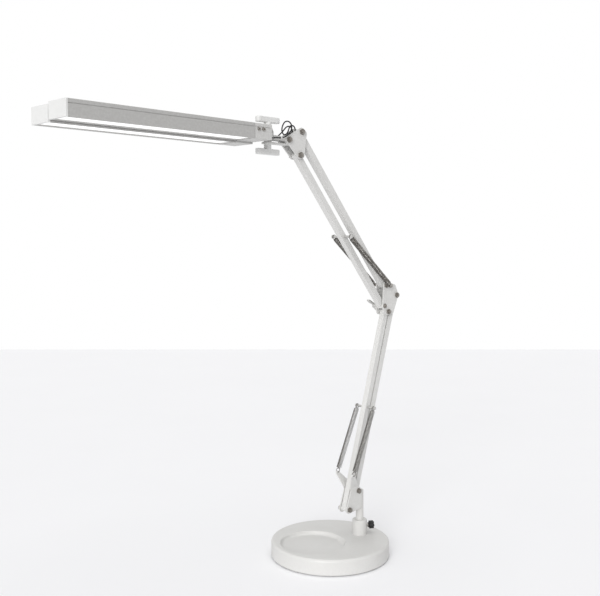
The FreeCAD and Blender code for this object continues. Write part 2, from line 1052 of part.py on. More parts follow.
def bar_bracket(side):
    """The hollow end casting, slotted for the hinge plate and holed for the cord."""
    bar_low, bar_high = bar_z(side)
    outer = section(side, 0, bar_low, bar_high, bracket_left, bracket_right)
    outer = outer.makeFillet(1.2, long_edges(outer, bar_high))
    pocket = section(
        side,
        bracket_wall,
        bar_low + bracket_wall,
        bar_high - bracket_wall,
        bracket_left - 1,
        bracket_right - bracket_wall,
    )
    slot_low = hinge_low(side) - 0.1
    slot = block(
        (bracket_right - bracket_wall - 1, bracket_right + 1),
        side_range(side, 4.0, bar_outer - bracket_wall),
        (slot_low, slot_low + hinge_plate_thickness + 0.2),
    )
    exit_hole = cylinder(
        at(bracket_right - 6, cord_exit[0] * side, tilt[1] + cord_exit[1]),
        vec(1, 0, 0),
        cord_radius + cord_gap,
        12.0,
    )
    body = outer.cut(pocket).cut(slot).cut(exit_hole)
    body = grooved(body, side, bar_high)
    joint = (bracket_left - 1, bracket_left + joint_rebate_width)
    whole = section(side, -1, bar_low - 1, bar_high + 1, *joint)
    core = section(
        side,
        joint_rebate_depth,
        bar_low + joint_rebate_depth,
        bar_high - joint_rebate_depth,
        *joint,
    )
    body = body.cut(whole.cut(core))
    for screw in bar_screw_points(side):
        body = body.cut(
            bar_screw_rod(side, screw, bar_screw_radius + seat_clearance, 10, 2)
        )
    return body


def bar_screw_points(side):
    middle = bracket_right - (flange_left + flange_right) / 2
    height = tilt[1] + 5.0 - bar_drop(side)
    return [(middle - 4.5, height), (middle + 4.5, height)]


def bar_screw_rod(side, point, radius, inwards, outwards):
    low, high = side_range(side, bar_outer - inwards, bar_outer + outwards)
    return cross_rod(point, radius, low, high)


def bar_hinge_plate(side):
    """The flat link from the hub to the bar, with a flange screwed to the casting."""
    low = hinge_low(side)
    back = bracket_right - flange_left
    inner_edge = 6.0
    outer_edge = bar_outer - bracket_wall - 0.1
    plate = lying_slab(
        [
            (hub_x, 0, hub_plate_radius),
            (bracket_right + 4, (inner_edge + 3) * side, 3.0),
            (back + 3, (inner_edge + 3) * side, 3.0),
            (back + 3, (outer_edge - 3) * side, 3.0),
            (bracket_right + 2, (outer_edge - 3.5) * side, 3.0),
        ],
        low,
        low + hinge_plate_thickness,
    )
    top = low + hinge_plate_thickness
    flange = block(
        (bracket_right - flange_left, bracket_right - flange_right),
        side_range(side, outer_edge - 2.0, outer_edge),
        (top - flange_depth, top),
    )
    plate = fuse([plate, flange])
    hub_hole = hub_bolt_radius + running_clearance
    plate = plate.cut(upright(hub_x, 0, hub_hole, low - 1, top + 1))
    for screw in bar_screw_points(side):
        plate = plate.cut(
            bar_screw_rod(side, screw, bar_screw_radius + seat_clearance, 10, 2)
        )
    return plate


def bar_screws(side):
    """Pan head screws through the casting's side into the hinge plate's flange."""
    solids = []
    for point in bar_screw_points(side):
        shank = bar_screw_rod(side, point, bar_screw_radius, 6.0, 0)
        low, high = side_range(side, bar_outer, bar_outer + 1.3)
        head = cross_rod(point, bar_screw_head, low, high)
        hexagon_low, hexagon_high = side_range(side, bar_outer + 0.5, bar_outer + 1.4)
        socket = hexagon(point, 2.6, hexagon_low, hexagon_high)
        solids.append(fuse([shank, head]).cut(socket))
    return group(solids)


# ---- cords ----

# Each route lists (x from the hub, across, height above the tilt pivot).
cord_exit = (16.0, -1.6)
lead_route = [
    (-bracket_start - 5.0, 16.0, -1.6),
    (-bracket_start + 7.0, 16.0, -1.6),
    (-15.0, 14.6, -2.2),
    (-4.0, 12.4, -1.4),
    (7.0, 11.1, 0.4),
    (lug_x - 0.1, 11.1, 0.8),
]
loop_route = [
    (lug_x + 0.1, -11.1, 0.8),
    (25.5, -11.4, 2.6),
    (33.8, -11.4, 8.2),
    (39.8, -11.0, 14.8),
    (40.4, -10.7, 22.4),
    (35.0, -10.4, 27.2),
    (26.8, -10.2, 26.4),
    (20.2, -10.0, 20.6),
    (17.4, -9.8, 12.8),
    (21.6, -9.4, 6.4),
    (29.6, -8.2, 6.6),
    (35.8, -6.6, 10.8),
    (39.6, -5.0, 16.0),
    (43.1, -4.0, 21.7),
    (50.35, -3.5, 23.3),
    (56.1, -3.3, 18.6),
    (56.1, -3.3, 6.4),
]
far_route = [
    (lug_x + 0.1, 11.1, 0.8),
    (25.5, 11.1, 2.4),
    (33.4, 9.6, 8.0),
    (39.0, 6.6, 14.4),
    (43.1, 4.4, 20.9),
    (50.35, 3.5, 22.9),
    (56.1, 3.3, 18.4),
    (56.1, 3.3, 6.4),
]


def routed(route, side=1):
    return [at(hub_x + x, across * side, tilt[1] + z) for x, across, z in route]


def cord(name, points):
    """A round cord along straight runs joined by tangent arcs."""
    edges = []
    radii = []
    last = points[0]
    for before, corner, after in zip(points, points[1:], points[2:]):
        into = (corner - before).normalize()
        out = (after - corner).normalize()
        half_turn = into.getAngle(out) / 2
        shorter = min(before.distanceToPoint(corner), corner.distanceToPoint(after))
        if half_turn < 0.001:
            continue
        trim = 0.45 * shorter
        radius = trim / math.tan(half_turn)
        radii.append(radius)
        arc_start = corner - into * trim
        arc_end = corner + out * trim
        bisector = (out - into).normalize()
        centre = corner + bisector * (radius / math.cos(half_turn))
        arc_middle = centre - bisector * radius
        edges.append(Part.makeLine(last, arc_start))
        edges.append(Part.Arc(arc_start, arc_middle, arc_end).toShape())
        last = arc_end
    edges.append(Part.makeLine(last, points[-1]))
    path = Part.Wire(edges)
    start_direction = (points[1] - points[0]).normalize()
    disc = Part.Wire(Part.makeCircle(cord_radius, points[0], start_direction))
    tube = path.makePipeShell([disc], True, False)
    expected = math.pi * cord_radius**2 * path.Length
    print(
        name,
        "length %.1f" % path.Length,
        "tightest radius %.1f" % min(radii),
        "volume ratio %.3f" % (tube.Volume / expected),
    )
    return tube


save("base_cover", base_cover())
save("base_weight", base_weight())
save("base_foot_pad", base_foot_pad())
save("base_collar", base_collar())
save("collar_bush", collar_bush())
save("thumb_stud", thumb_stud())
save("thumb_knob", thumb_knob())
save("swivel_post", swivel_post())
save("lower_plate_near", lower_plate(-1))
save("lower_plate_far", lower_plate(1))
save("lower_bolts", bolts([lower_front, lower_rear]))
save("lower_nuts", nuts([lower_front, lower_rear]))
save("lower_sleeves", sleeves([lower_front, lower_rear]))
save("lower_front_tube", arm_tube(lower_front, elbow_front, lower_pin))
save("lower_rear_tube", arm_tube(lower_rear, elbow_rear))
save("lower_cross_pin", cross_pin(lower_pin))
save("lower_spring_near", lower_spring(-1))
save("lower_spring_far", lower_spring(1))
save("elbow_plate_near", elbow_plate(-1))
save("elbow_plate_far", elbow_plate(1))
save("elbow_bolts", bolts([elbow_front, elbow_rear]))
save("elbow_nuts", elbow_nuts())
save("elbow_anchor_bolt", elbow_anchor_bolt())
save("elbow_clamp_bolt", elbow_clamp_bolt())
save("elbow_sleeves", sleeves([elbow_front, elbow_rear, upper_front, upper_rear]))
save("elbow_wing_nut", elbow_wing_nut())
save("upper_front_tube", arm_tube(upper_front, top_front, upper_pin))
save("upper_rear_tube", arm_tube(upper_rear, top_rear))
save("upper_cross_pin", cross_pin(upper_pin))
save("upper_spring_near", upper_spring(-1))
save("upper_spring_far", upper_spring(1))
save("top_plate_near", top_plate(-1))
save("top_plate_far", top_plate(1))
save("top_bolts", bolts([top_front, top_rear, tilt]))
save("top_nuts", nuts([top_front, top_rear, tilt]))
save("top_sleeves", sleeves([top_front, top_rear]))
save("cord_anchor", cord_anchor())
save("head_arm", head_arm())
save("hub_bolt", hub_bolt())
save("hub_washers", hub_washers())
save("top_knob", top_knob())
save("bottom_knob", bottom_knob())
for bar_name, bar_side in (("near", -1), ("far", 1)):
    save(bar_name + "_bar_housing", bar_housing(bar_side))
    save(bar_name + "_bar_diffuser", bar_diffuser(bar_side))
    save(bar_name + "_bar_led_board", bar_led_board(bar_side))
    save(bar_name + "_bar_end_cap", bar_end_cap(bar_side))
    save(bar_name + "_bar_bracket", bar_bracket(bar_side))
    save(bar_name + "_bar_hinge_plate", bar_hinge_plate(bar_side))
    save(bar_name + "_bar_screws", bar_screws(bar_side))
save("near_lead_cord", cord("near_lead_cord", routed(lead_route, -1)))
save("far_lead_cord", cord("far_lead_cord", routed(lead_route)))
save("near_loop_cord", cord("near_loop_cord", routed(loop_route)))
save("far_loop_cord", cord("far_loop_cord", routed(far_route)))
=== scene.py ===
import json
import math
import bpy
from mathutils import Matrix, Vector

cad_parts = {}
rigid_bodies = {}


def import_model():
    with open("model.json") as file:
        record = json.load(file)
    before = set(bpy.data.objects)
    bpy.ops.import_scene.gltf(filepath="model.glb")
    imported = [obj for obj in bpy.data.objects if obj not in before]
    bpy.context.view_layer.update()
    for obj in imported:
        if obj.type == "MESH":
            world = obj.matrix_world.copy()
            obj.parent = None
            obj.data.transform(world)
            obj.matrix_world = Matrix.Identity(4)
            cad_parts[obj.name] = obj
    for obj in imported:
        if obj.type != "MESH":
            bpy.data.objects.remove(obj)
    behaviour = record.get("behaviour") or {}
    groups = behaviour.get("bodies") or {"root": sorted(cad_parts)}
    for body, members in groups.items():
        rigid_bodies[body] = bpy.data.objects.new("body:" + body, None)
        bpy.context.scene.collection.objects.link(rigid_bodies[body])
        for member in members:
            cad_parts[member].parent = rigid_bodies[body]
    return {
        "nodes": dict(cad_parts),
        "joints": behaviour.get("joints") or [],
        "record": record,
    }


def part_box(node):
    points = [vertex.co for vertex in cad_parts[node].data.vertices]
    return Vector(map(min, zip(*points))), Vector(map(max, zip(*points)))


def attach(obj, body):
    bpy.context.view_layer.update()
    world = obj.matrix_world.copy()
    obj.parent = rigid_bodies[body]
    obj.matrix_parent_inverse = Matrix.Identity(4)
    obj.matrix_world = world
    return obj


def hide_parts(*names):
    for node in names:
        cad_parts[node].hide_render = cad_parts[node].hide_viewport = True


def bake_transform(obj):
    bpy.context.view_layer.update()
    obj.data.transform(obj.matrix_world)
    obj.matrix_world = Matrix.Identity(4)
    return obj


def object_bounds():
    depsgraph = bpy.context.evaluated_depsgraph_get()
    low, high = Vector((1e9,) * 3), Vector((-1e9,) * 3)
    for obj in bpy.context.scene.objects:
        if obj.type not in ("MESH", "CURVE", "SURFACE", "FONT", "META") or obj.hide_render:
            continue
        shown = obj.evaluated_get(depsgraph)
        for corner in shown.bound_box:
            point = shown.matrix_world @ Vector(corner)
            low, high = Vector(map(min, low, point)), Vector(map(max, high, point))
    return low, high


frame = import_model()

cadLow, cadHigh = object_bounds()


def selectNone():
    for thing in bpy.context.view_layer.objects:
        thing.select_set(False)


def pick(obj):
    selectNone()
    obj.select_set(True)
    bpy.context.view_layer.objects.active = obj


def centre(node):
    low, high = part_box(node)
    return (Vector(low) + Vector(high)) / 2


# Places read from the frame: every pivot is a joint of the record.
joints = {joint["name"]: joint for joint in frame["joints"]}


def pivot(name):
    return Vector(joints[name]["pos_m"])


# Camera, at eye level over the desk and to the left of the arm plane.
cameraSettings = {
    "place": (-1.0443, -0.9558, 0.5343),
    "turn": -45.46,      # degrees about Z from looking along +Y
    "down": 3.94,        # degrees below the horizon
    "lens": 51.0,
    "sensor": 36,
    "nearest": 0.01,     # metres before the lens where the view starts
}


def makeCamera(settings):
    turn = math.radians(settings["turn"])
    tip = math.radians(90 - settings["down"])
    bpy.ops.object.camera_add(location=settings["place"], rotation=(tip, 0, turn))
    camera = bpy.context.object
    camera.data.lens = settings["lens"]
    camera.data.sensor_width = settings["sensor"]
    camera.data.clip_start = settings["nearest"]
    bpy.context.scene.camera = camera


makeCamera(cameraSettings)
print("camera placed")


# The two head cords, each in two lengths that meet at an eyelet of the head arm.
# Points are in millimetres: along X and across from the hub, and up from the tilt pivot.
cordSettings = {
    "diameter": 0.002,
    "sides": 5,          # bevel resolution
    "smoothness": 8,     # steps between two points of the route
    "lead": [
        (-34.5, 16.0, -1.6), (-22.5, 16.0, -1.6), (-15.0, 14.6, -2.2),
        (-4.0, 12.4, -1.4), (7.0, 11.1, 0.4), (16.9, 11.1, 0.8),
    ],
    "nearLoop": [
        (17.1, -11.1, 0.8), (25.5, -11.4, 2.6), (33.8, -11.4, 8.2), (39.8, -11.0, 14.8),
        (40.4, -10.7, 22.4), (35.0, -10.4, 27.2), (26.8, -10.2, 26.4), (22.4, -9.6, 20.6),
        (20.6, -8.8, 12.8), (24.2, -8.6, 6.6), (29.6, -8.2, 6.6), (35.8, -6.6, 10.8),
        (39.6, -5.0, 16.0), (43.1, -4.0, 21.7), (50.35, -3.5, 23.3), (56.1, -3.3, 18.6),
        (56.1, -3.3, 6.4),
    ],
    "farLoop": [
        (17.1, 11.1, 0.8), (25.5, 11.1, 2.4), (33.4, 9.6, 8.0), (39.0, 6.6, 14.4),
        (43.1, 4.4, 20.9), (50.35, 3.5, 22.9), (56.1, 3.3, 18.4), (56.1, 3.3, 6.4),
    ],
}
hub = pivot("near_bar_swing")
tilt = pivot("head_tilt")
perMetre = 1000      # millimetres


def routePoints(points, side=1):
    route = []
    for along, across, up in points:
        route.append(Vector((
            hub.x + along / perMetre,
            hub.y + across * side / perMetre,
            tilt.z + up / perMetre,
        )))
    return route


def readPath(cord):
    # The smooth line of a route, before it has any thickness.
    deps = bpy.context.evaluated_depsgraph_get()
    line = bpy.data.meshes.new_from_object(cord.evaluated_get(deps))
    path = [tuple(vertex.co) for vertex in line.vertices]
    bpy.data.meshes.remove(line)
    return path


def makeCord(name, route, node):
    curve = bpy.data.curves.new(name, "CURVE")
    curve.dimensions = "3D"
    curve.resolution_u = cordSettings["smoothness"]
    spline = curve.splines.new("NURBS")
    spline.points.add(len(route) - 1)
    for point, place in zip(spline.points, route):
        point.co = (*place, 1)
    spline.order_u = 3
    spline.use_endpoint_u = True
    cord = bpy.data.objects.new(name, curve)
    bpy.context.collection.objects.link(cord)
    bpy.context.view_layer.update()
    path = readPath(cord)
    curve.bevel_depth = cordSettings["diameter"] / 2
    curve.bevel_resolution = cordSettings["sides"]
    curve.use_fill_caps = True
    pick(cord)
    bpy.ops.object.convert(target="MESH")
    cord = bpy.context.object
    bpy.ops.object.shade_smooth()
    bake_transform(cord)
    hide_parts(node)
    return cord


leadNear = routePoints(cordSettings["lead"], -1)
leadFar = routePoints(cordSettings["lead"])
loopNear = routePoints(cordSettings["nearLoop"])
loopFar = routePoints(cordSettings["farLoop"])
cords = [
    makeCord("nearLead", leadNear, "near_lead_cord"),
    makeCord("farLead", leadFar, "far_lead_cord"),
    makeCord("nearLoop", loopNear, "near_loop_cord"),
    makeCord("farLoop", loopFar, "far_loop_cord"),
]
print("cords laid")


# Shader groups that several finishes share, and how each pattern is drawn.
grainSettings = {
    "peel": {"Detail": 2.0, "Roughness": 0.5},
    "mottle": {"Detail": 4.0, "Roughness": 0.6},
    "mottleRange": (0.3, 0.7),
}
brushSettings = {
    "lines": {"Detail": 3.0, "Roughness": 0.6},
    "patches": {"Scale": 18.0, "Detail": 3.0},
    "patchRange": (0.3, 0.7),
}
# Where the painted edge highlight lies (by pointiness), and the grit that breaks it up.
edgeHighlightSettings = {
    "edgeRange": (0.53, 0.62),     # pointiness, where 0.5 is flat
    "grit": {"Detail": 3.0},
    "gritRange": (0.42, 0.62),
}


def newGroup(name, inputs, outputs):
    group = bpy.data.node_groups.new(name, "ShaderNodeTree")
    for label, value in inputs.items():
        socket = group.interface.new_socket(
            label, in_out="INPUT", socket_type="NodeSocketFloat"
        )
        socket.default_value = value
    for label, kind in outputs.items():
        group.interface.new_socket(label, in_out="OUTPUT", socket_type=kind)
    return group, group.nodes.new("NodeGroupInput"), group.nodes.new("NodeGroupOutput")


def addNode(tree, kind, **values):
    node = tree.nodes.new(kind)
    for name, value in values.items():
        if hasattr(node, name):
            setattr(node, name, value)
        else:
            node.inputs[name].default_value = value
    return node


def ramp(tree, low, high, toLow=0.0, toHigh=1.0):
    return addNode(
        tree, "ShaderNodeMapRange",
        **{"From Min": low, "From Max": high, "To Min": toLow, "To Max": toHigh},
    )


def makeCoatGrain():
    # Powder coat or moulded skin: a fine orange peel and a faint broad mottle.
    group, given, out = newGroup(
        "coatGrain", {"Grain Size": 900.0, "Mottle Size": 25.0},
        {"Mottle": "NodeSocketFloat", "Peel": "NodeSocketFloat"},
    )
    place = addNode(group, "ShaderNodeTexCoord")
    peel = addNode(group, "ShaderNodeTexNoise", **grainSettings["peel"])
    mottle = addNode(group, "ShaderNodeTexNoise", **grainSettings["mottle"])
    spread = ramp(group, *grainSettings["mottleRange"])
    link = group.links.new
    link(place.outputs["Object"], peel.inputs["Vector"])
    link(place.outputs["Object"], mottle.inputs["Vector"])
    link(given.outputs["Grain Size"], peel.inputs["Scale"])
    link(given.outputs["Mottle Size"], mottle.inputs["Scale"])
    link(mottle.outputs["Fac"], spread.inputs["Value"])
    link(spread.outputs["Result"], out.inputs["Mottle"])
    link(peel.outputs["Fac"], out.inputs["Peel"])
    return group


def makeBrushLines():
    # Long fine scratches along X, from drawing or brushing.
    group, given, out = newGroup(
        "brushLines", {"Line Size": 1400.0, "Stretch": 0.012},
        {"Lines": "NodeSocketFloat", "Patches": "NodeSocketFloat"},
    )
    place = addNode(group, "ShaderNodeTexCoord")
    mapping = addNode(group, "ShaderNodeMapping")
    stretch = addNode(group, "ShaderNodeCombineXYZ", **{"Y": 1.0, "Z": 1.0})
    lines = addNode(group, "ShaderNodeTexNoise", **brushSettings["lines"])
    patches = addNode(group, "ShaderNodeTexNoise", **brushSettings["patches"])
    link = group.links.new
    link(given.outputs["Stretch"], stretch.inputs["X"])
    link(place.outputs["Object"], mapping.inputs["Vector"])
    link(stretch.outputs["Vector"], mapping.inputs["Scale"])
    link(mapping.outputs["Vector"], lines.inputs["Vector"])
    link(given.outputs["Line Size"], lines.inputs["Scale"])
    link(place.outputs["Object"], patches.inputs["Vector"])
    link(lines.outputs["Fac"], out.inputs["Lines"])
    link(patches.outputs["Fac"], out.inputs["Patches"])
    return group


def makePaintedEdgeHighlight():
    # Painted highlight: a lighter colour on the convex edges of a coat or a plating,
    # standing in for the light that rounded edges catch.
    group, given, out = newGroup(
        "paintedEdgeHighlight", {"Amount": 0.5, "Break Up": 300.0}, {"Highlight": "NodeSocketFloat"},
    )
    shape = addNode(group, "ShaderNodeNewGeometry")
    place = addNode(group, "ShaderNodeTexCoord")
    edge = ramp(group, *edgeHighlightSettings["edgeRange"])
    grit = addNode(group, "ShaderNodeTexNoise", **edgeHighlightSettings["grit"])
    gritty = ramp(group, *edgeHighlightSettings["gritRange"])
    both = addNode(group, "ShaderNodeMath", operation="MULTIPLY")
    scaled = addNode(group, "ShaderNodeMath", operation="MULTIPLY")
    link = group.links.new
    link(shape.outputs["Pointiness"], edge.inputs["Value"])
    link(place.outputs["Object"], grit.inputs["Vector"])
    link(given.outputs["Break Up"], grit.inputs["Scale"])
    link(grit.outputs["Fac"], gritty.inputs["Value"])
    link(edge.outputs["Result"], both.inputs[0])
    link(gritty.outputs["Result"], both.inputs[1])
    link(both.outputs[0], scaled.inputs[0])
    link(given.outputs["Amount"], scaled.inputs[1])
    link(scaled.outputs[0], out.inputs["Highlight"])
    return group


coatGrain = makeCoatGrain()
brushLines = makeBrushLines()
paintedEdgeHighlight = makePaintedEdgeHighlight()


def newMaterial(name, **values):
    material = bpy.data.materials.new(name)
    material.use_nodes = True
    shader = material.node_tree.nodes["Principled BSDF"]
    for socket, value in values.items():
        shader.inputs[socket].default_value = value
    return material, material.node_tree, shader


def placeGroup(tree, group, **values):
    node = tree.nodes.new("ShaderNodeGroup")
    node.node_tree = group
    for socket, value in values.items():
        node.inputs[socket].default_value = value
    return node


# The sockets of a Mix node that work on colours, by their order.
mixSocket = {"factor": 0, "first": 6, "second": 7, "result": 2}


def mixColours(tree, factor, first, second):
    # The first colour is a fixed one, or comes from another node.
    mix = addNode(tree, "ShaderNodeMix", data_type="RGBA")
    if isinstance(first, tuple):
        mix.inputs[mixSocket["first"]].default_value = (*first, 1)
    else:
        tree.links.new(first, mix.inputs[mixSocket["first"]])
    mix.inputs[mixSocket["second"]].default_value = (*second, 1)
    tree.links.new(factor, mix.inputs[mixSocket["factor"]])
    return mix.outputs[mixSocket["result"]]


def addBump(tree, height, strength, distance, shader):
    bump = addNode(tree, "ShaderNodeBump", **{"Strength": strength, "Distance": distance})
    tree.links.new(height, bump.inputs["Height"])
    tree.links.new(bump.outputs["Normal"], shader.inputs["Normal"])


coatDepth = 0.0001      # of the orange peel
brushDepth = 0.00005    # of the scratches


def coated(name, look):
    material, tree, shader = newMaterial(
        name, **{"Specular IOR Level": look.get("specular", 0.5)}
    )
    link = tree.links.new
    sizes = {"Grain Size": look["grain"], "Mottle Size": look["mottle"]}
    grain = placeGroup(tree, coatGrain, **sizes)
    colour = mixColours(tree, grain.outputs["Mottle"], look["colour"], look["shade"])
    # Painted highlight: convex edges are mixed toward a lighter colour, standing in for
    # light caught by rounded edges.
    if "highlightColour" in look:
        edgeHighlight = placeGroup(tree, paintedEdgeHighlight, **{"Amount": look["edgeHighlight"]})
        colour = mixColours(tree, edgeHighlight.outputs["Highlight"], colour, look["highlightColour"])
    link(colour, shader.inputs["Base Color"])
    rough = ramp(tree, 0.0, 1.0, *look["rough"])
    link(grain.outputs["Mottle"], rough.inputs["Value"])
    link(rough.outputs["Result"], shader.inputs["Roughness"])
    addBump(tree, grain.outputs["Peel"], look["bump"], coatDepth, shader)
    return material


def metal(name, look):
    material, tree, shader = newMaterial(name, Metallic=look["metallic"])
    link = tree.links.new
    sizes = {"Line Size": look["line"], "Stretch": look["stretch"]}
    lines = placeGroup(tree, brushLines, **sizes)
    body = mixColours(tree, lines.outputs["Lines"], look["colour"], look["shade"])
    # Painted highlight: convex edges are mixed toward a lighter colour, standing in for
    # light caught by rounded edges.
    edgeHighlight = placeGroup(tree, paintedEdgeHighlight, **{"Amount": look["edgeHighlight"]})
    highlighted = mixColours(tree, edgeHighlight.outputs["Highlight"], body, look["highlightColour"])
    link(highlighted, shader.inputs["Base Color"])
    rough = ramp(tree, *brushSettings["patchRange"], *look["rough"])
    link(lines.outputs["Patches"], rough.inputs["Value"])
    link(rough.outputs["Result"], shader.inputs["Roughness"])
    addBump(tree, lines.outputs["Lines"], look["bump"], brushDepth, shader)
    return material


# Some looks add a painted highlight: an amount, and a lighter colour mixed onto convex
# edges.
finishes = {
    "paint": (coated, {
        "colour": (0.62, 0.615, 0.60), "shade": (0.60, 0.595, 0.58), "grain": 900.0,
        "mottle": 30.0, "rough": (0.38, 0.46), "bump": 0.25,
        "edgeHighlight": 0.35, "highlightColour": (0.70, 0.70, 0.69),
    }),
    "white_plastic": (coated, {
        "colour": (0.70, 0.70, 0.69), "shade": (0.68, 0.68, 0.67), "grain": 1400.0,
        "mottle": 40.0, "rough": (0.42, 0.5), "bump": 0.15,
    }),
    "nylon": (coated, {
        "colour": (0.82, 0.82, 0.79), "shade": (0.77, 0.77, 0.74), "grain": 1200.0,
        "mottle": 60.0, "rough": (0.5, 0.6), "bump": 0.15,
    }),
    "black_plastic": (coated, {
        "colour": (0.012, 0.012, 0.013), "shade": (0.022, 0.022, 0.023), "grain": 1500.0,
        "mottle": 90.0, "rough": (0.45, 0.6), "bump": 0.3, "specular": 0.25,
        "edgeHighlight": 0.5, "highlightColour": (0.05, 0.05, 0.05),
    }),
    # Painted light: the foot pad is pale grey rather than black rubber, so the shaded gap
    # under the base reads pale.
    "pad_rubber": (coated, {
        "colour": (0.50, 0.50, 0.49), "shade": (0.44, 0.44, 0.43), "grain": 500.0,
        "mottle": 20.0, "rough": (0.7, 0.85), "bump": 0.6,
    }),
    "cord": (coated, {
        "colour": (0.010, 0.010, 0.011), "shade": (0.020, 0.020, 0.021), "grain": 1800.0,
        "mottle": 120.0, "rough": (0.45, 0.6), "bump": 0.2, "specular": 0.25,
    }),
    "iron": (coated, {
        "colour": (0.09, 0.09, 0.09), "shade": (0.15, 0.14, 0.13), "grain": 300.0,
        "mottle": 40.0, "rough": (0.6, 0.8), "bump": 0.8,
    }),
    "led_board": (coated, {
        "colour": (0.84, 0.84, 0.80), "shade": (0.80, 0.80, 0.76), "grain": 1500.0,
        "mottle": 200.0, "rough": (0.4, 0.5), "bump": 0.1,
    }),
    "bracket_grey": (coated, {
        "colour": (0.53, 0.525, 0.51), "shade": (0.505, 0.50, 0.49), "grain": 1100.0,
        "mottle": 50.0, "rough": (0.4, 0.5), "bump": 0.2,
        "edgeHighlight": 0.35, "highlightColour": (0.60, 0.60, 0.59),
    }),
    "bar_aluminium": (metal, {
        "colour": (0.43, 0.425, 0.415), "shade": (0.39, 0.385, 0.375),
        "metallic": 0.35, "line": 1500.0, "stretch": 0.01, "rough": (0.36, 0.46),
        "bump": 0.2, "edgeHighlight": 0.25, "highlightColour": (0.52, 0.52, 0.51),
    }),
    "link_steel": (metal, {
        "colour": (0.56, 0.555, 0.54), "shade": (0.47, 0.465, 0.45),
        "metallic": 0.7, "line": 1300.0, "stretch": 0.02, "rough": (0.3, 0.42),
        "bump": 0.3, "edgeHighlight": 0.4, "highlightColour": (0.72, 0.71, 0.7),
    }),
    "steel": (metal, {
        "colour": (0.27, 0.25, 0.225), "shade": (0.18, 0.165, 0.15),
        "metallic": 0.85, "line": 900.0, "stretch": 0.5, "rough": (0.25, 0.4),
        "bump": 0.3, "edgeHighlight": 0.6, "highlightColour": (0.6, 0.59, 0.57),
    }),
    "spring_steel": (metal, {
        "colour": (0.17, 0.16, 0.145), "shade": (0.10, 0.093, 0.085),
        "metallic": 0.85, "line": 900.0, "stretch": 0.6, "rough": (0.25, 0.38),
        "bump": 0.2, "edgeHighlight": 0.5, "highlightColour": (0.6, 0.59, 0.57),
    }),
}


diffuserLook = {
    "colour": (0.93, 0.93, 0.92), "shade": (0.90, 0.90, 0.89),
    "light": (1.0, 1.0, 1.0), "lightShade": (0.95, 0.96, 0.97), "glow": 0.45,
    "grain": 700.0, "mottle": 60.0, "rough": 0.4, "bump": 0.1,
}


def diffuserMaterial(look):
    # Opal acrylic with a soft, nearly even glow.
    material, tree, shader = newMaterial(
        "diffuser", Roughness=look["rough"], **{"Emission Strength": look["glow"]}
    )
    link = tree.links.new
    sizes = {"Grain Size": look["grain"], "Mottle Size": look["mottle"]}
    grain = placeGroup(tree, coatGrain, **sizes)
    mottle = grain.outputs["Mottle"]
    body = mixColours(tree, mottle, look["colour"], look["shade"])
    link(body, shader.inputs["Base Color"])
    light = mixColours(tree, mottle, look["light"], look["lightShade"])
    link(light, shader.inputs["Emission Color"])
    addBump(tree, grain.outputs["Peel"], look["bump"], coatDepth, shader)
    return material


materials = {name: make(name, look) for name, (make, look) in finishes.items()}
materials["diffuser"] = diffuserMaterial(diffuserLook)


def paintNodes():
    slots = {row["node"]: row["material_slot"] for row in frame["record"]["subparts"]}
    for node, obj in frame["nodes"].items():
        for slot in obj.material_slots:
            slot.material = materials[slots[node]]


def dress(obj, slotName):
    obj.data.materials.clear()
    obj.data.materials.append(materials[slotName])


paintNodes()
for cord in cords:
    dress(cord, "cord")
print("finishes made")


# Coil springs: a wound wire, a ring hook at each end and the bent wire between.
springSettings = {
    "wire": 0.00055,       # radius
    "coil": 0.00395,       # radius of the wire's middle
    "ring": 0.0036,
    "lowerPitch": 0.0020,
    "upperPitch": 0.0015,
    "neck": 0.0046,        # from a ring's middle to the coil
    "section": 8,          # sides of the coil's wire
    "steps": 18,           # steps round each turn
    "hookSides": 10,       # sides of the hooks' wire
    "ringSteps": 32,
    "smoothAngle": 50,
}
acrossPlane = Vector((0, 1, 0))            # square to the plane the arms fold in
rodSide = Vector((0.01, 1, 0.02))          # these two only set where a seam lies,
ringSide = Vector((0.3, 0.1, 1))           # and aren't in line with any wire


def joinAll(parts, name):
    pick(parts[0])
    for part in parts[1:]:
        part.select_set(True)
    if len(parts) > 1:
        bpy.ops.object.join()
    whole = bpy.context.object
    whole.name = name
    return whole


def applyPlace(obj):
    pick(obj)
    bpy.ops.object.transform_apply(location=True, rotation=True, scale=True)


def standOn(obj, place, direction, side):
    # Turns the piece's Z along the direction, and applies it.
    up = direction.normalized()
    across = side.normalized()
    third = across.cross(up).normalized()
    across = up.cross(third)
    obj.matrix_world = Matrix((
        (*third, 0), (*across, 0), (*up, 0), (0, 0, 0, 1),
    )).transposed()
    obj.matrix_world.translation = place
    applyPlace(obj)


def wireRod(start, end, radius):
    direction = end - start
    bpy.ops.mesh.primitive_cylinder_add(
        vertices=springSettings["hookSides"], radius=radius, depth=direction.length
    )
    rod = bpy.context.object
    standOn(rod, (start + end) / 2, direction, rodSide)
    return rod


def wireRing(place, axis, radius, wire):
    bpy.ops.mesh.primitive_torus_add(
        major_radius=radius, minor_radius=wire,
        major_segments=springSettings["ringSteps"],
        minor_segments=springSettings["hookSides"],
    )
    ring = bpy.context.object
    standOn(ring, place, axis, ringSide)
    return ring


